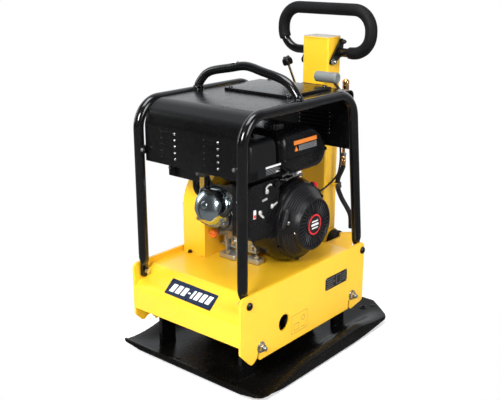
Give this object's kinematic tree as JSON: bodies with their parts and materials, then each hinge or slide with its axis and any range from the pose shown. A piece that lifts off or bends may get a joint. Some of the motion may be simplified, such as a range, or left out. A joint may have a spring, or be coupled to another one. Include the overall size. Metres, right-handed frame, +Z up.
{
  "type": "plate compactor",
  "caption": "Petrol reversible plate compactor: heavy base plate with exciter, sprung deck with engine, pipe loops, hood and a folding handle column.",
  "frame": {"origin": "on the ground under the centre of the base plate's outline", "axes": "+Z up; -Y is the front, +Y the operator's end with the handle column; +X is the recoil-starter side"},
  "size_m": [0.556, 0.738, 1.0345],
  "materials": {
    "yellow_paint": "glossy chrome-yellow powder coat with a light orange peel",
    "black_paint": "satin black powder coat",
    "cast_black": "black-painted casting, slightly grained",
    "rubber": "plain moulded black rubber",
    "foam": "matte black closed-cell foam",
    "zinc": "bright zinc plate",
    "steel": "machined steel",
    "aluminium": "die-cast aluminium",
    "chrome": "chromed pressed steel",
    "black_plastic": "textured black moulding",
    "engine_black": "satin black enamel",
    "brass": "bare brass, lightly tarnished",
    "red_plastic": "red moulding",
    "orange_plastic": "orange moulding",
    "grey_plastic": "grey moulded grip",
    "iron": "dark heat-stained iron"
  },
  "bodies": {
    "machine": {"base_plate": "cast_black", "exciter_housing": "cast_black", "exciter_cover": "cast_black", "rubber_buffer_front_left": "rubber", "rubber_buffer_front_right": "rubber", "rubber_buffer_rear_left": "rubber", "rubber_buffer_rear_right": "rubber", "buffer_nut_front_left": "zinc", "buffer_nut_front_right": "zinc", "buffer_nut_rear_left": "zinc", "buffer_nut_rear_right": "zinc", "frame": "yellow_paint", "frame_bolt_front_left": "black_paint", "frame_bolt_front_right": "black_paint", "frame_bolt_rear_left": "black_paint", "frame_bolt_rear_right": "black_paint", "frame_loop_left": "black_paint", "frame_loop_right": "black_paint", "lifting_bar": "black_paint", "hood": "black_paint", "hood_lid": "black_paint", "column_rest_pad": "rubber", "belt_guard": "yellow_paint", "engine_block": "aluminium", "cylinder_head": "aluminium", "rocker_cover": "chrome", "fan_housing": "engine_black", "recoil_cover": "engine_black", "fuel_tank": "engine_black", "air_cleaner": "black_plastic", "carburettor_panel": "black_plastic", "muffler": "iron", "column_pin": "zinc", "drive_belt": "rubber", "column_bush_left": "rubber", "column_bush_right": "rubber"},
    "crank": {"crankshaft": "steel", "flywheel_fan": "aluminium", "clutch_pulley": "iron"},
    "exciter_drive": {"eccentric_shaft_drive": "steel", "exciter_pulley": "iron"},
    "exciter_driven": {"eccentric_shaft_driven": "steel"},
    "column": {"handle_column": "yellow_paint", "hydraulic_pipe": "brass", "hydraulic_hose": "rubber"},
    "hoop": {"hoop_pipe": "black_paint", "hoop_grip": "foam", "hoop_bracket_left": "black_paint", "hoop_bracket_right": "black_paint"},
    "throttle": {"throttle_lever": "iron", "throttle_grip": "grey_plastic"},
    "lock": {"lock_lever": "zinc", "star_knob": "black_plastic"},
    "fuel_cap": {"fuel_cap": "black_plastic"},
    "oil_cap": {"oil_cap": "orange_plastic"},
    "recoil_handle": {"recoil_handle": "black_plastic"},
    "choke": {"choke_lever": "zinc"},
    "speed": {"speed_lever": "zinc"},
    "fuel_valve": {"fuel_valve_lever": "zinc"},
    "stop_switch": {"stop_switch": "red_plastic"}
  },
  "joints": [
    {"name": "crank_spin", "type": "hinge", "parent": "machine", "child": "crank", "pos_m": [0, 0, 0.41], "axis": [1, 0, 0], "continuous": true},
    {"name": "exciter_drive_spin", "type": "hinge", "parent": "machine", "child": "exciter_drive", "pos_m": [0, -0.045, 0.092], "axis": [1, 0, 0], "continuous": true},
    {"name": "exciter_driven_spin", "type": "hinge", "parent": "machine", "child": "exciter_driven", "pos_m": [0, 0.045, 0.092], "axis": [1, 0, 0], "continuous": true},
    {"name": "column_tilt", "type": "hinge", "parent": "machine", "child": "column", "pos_m": [0, 0.285, 0.256], "axis": [-1, 0, 0], "range_deg": [0, 60]},
    {"name": "hoop_travel", "type": "hinge", "parent": "column", "child": "hoop", "pos_m": [0, 0.263, 0.854], "axis": [-1, 0, 0], "range_deg": [-12, 12]},
    {"name": "throttle_swing", "type": "hinge", "parent": "column", "child": "throttle", "pos_m": [0.11, 0.262, 0.745], "axis": [-1, 0, 0], "range_deg": [0, 24]},
    {"name": "lock_swing", "type": "hinge", "parent": "column", "child": "lock", "pos_m": [-0.076, 0.262, 0.745], "axis": [-1, 0, 0], "range_deg": [0, 22]},
    {"name": "fuel_cap_turn", "type": "hinge", "parent": "machine", "child": "fuel_cap", "pos_m": [0.066, -0.046, 0.7], "axis": [0, 0, 1], "range_deg": [0, 90]},
    {"name": "oil_cap_turn", "type": "hinge", "parent": "machine", "child": "oil_cap", "pos_m": [-0.095, -0.132, 0.354], "axis": [0, -1, 0], "continuous": true},
    {"name": "recoil_pull", "type": "slide", "parent": "machine", "child": "recoil_handle", "axis": [0, -0.9397, 0.342], "range_m": [0, 0.35]},
    {"name": "choke_turn", "type": "hinge", "parent": "machine", "child": "choke", "pos_m": [0.132, -0.16, 0.538], "axis": [1, 0, 0], "range_deg": [-5, 55]},
    {"name": "speed_turn", "type": "hinge", "parent": "machine", "child": "speed", "pos_m": [0.132, -0.136, 0.489], "axis": [1, 0, 0], "range_deg": [-50, 10]},
    {"name": "fuel_valve_turn", "type": "hinge", "parent": "machine", "child": "fuel_valve", "pos_m": [0.132, -0.19, 0.482], "axis": [1, 0, 0], "range_deg": [-80, 10]},
    {"name": "stop_switch_turn", "type": "hinge", "parent": "machine", "child": "stop_switch", "pos_m": [0.112, 0.103, 0.501], "axis": [1, 0, 0], "range_deg": [-4, 4]}
  ],
  "couplings": [
    {"joint": "exciter_drive_spin", "follows": "crank_spin", "ratio": 1.1304},
    {"joint": "exciter_driven_spin", "follows": "crank_spin", "ratio": -1.1304}
  ]
}
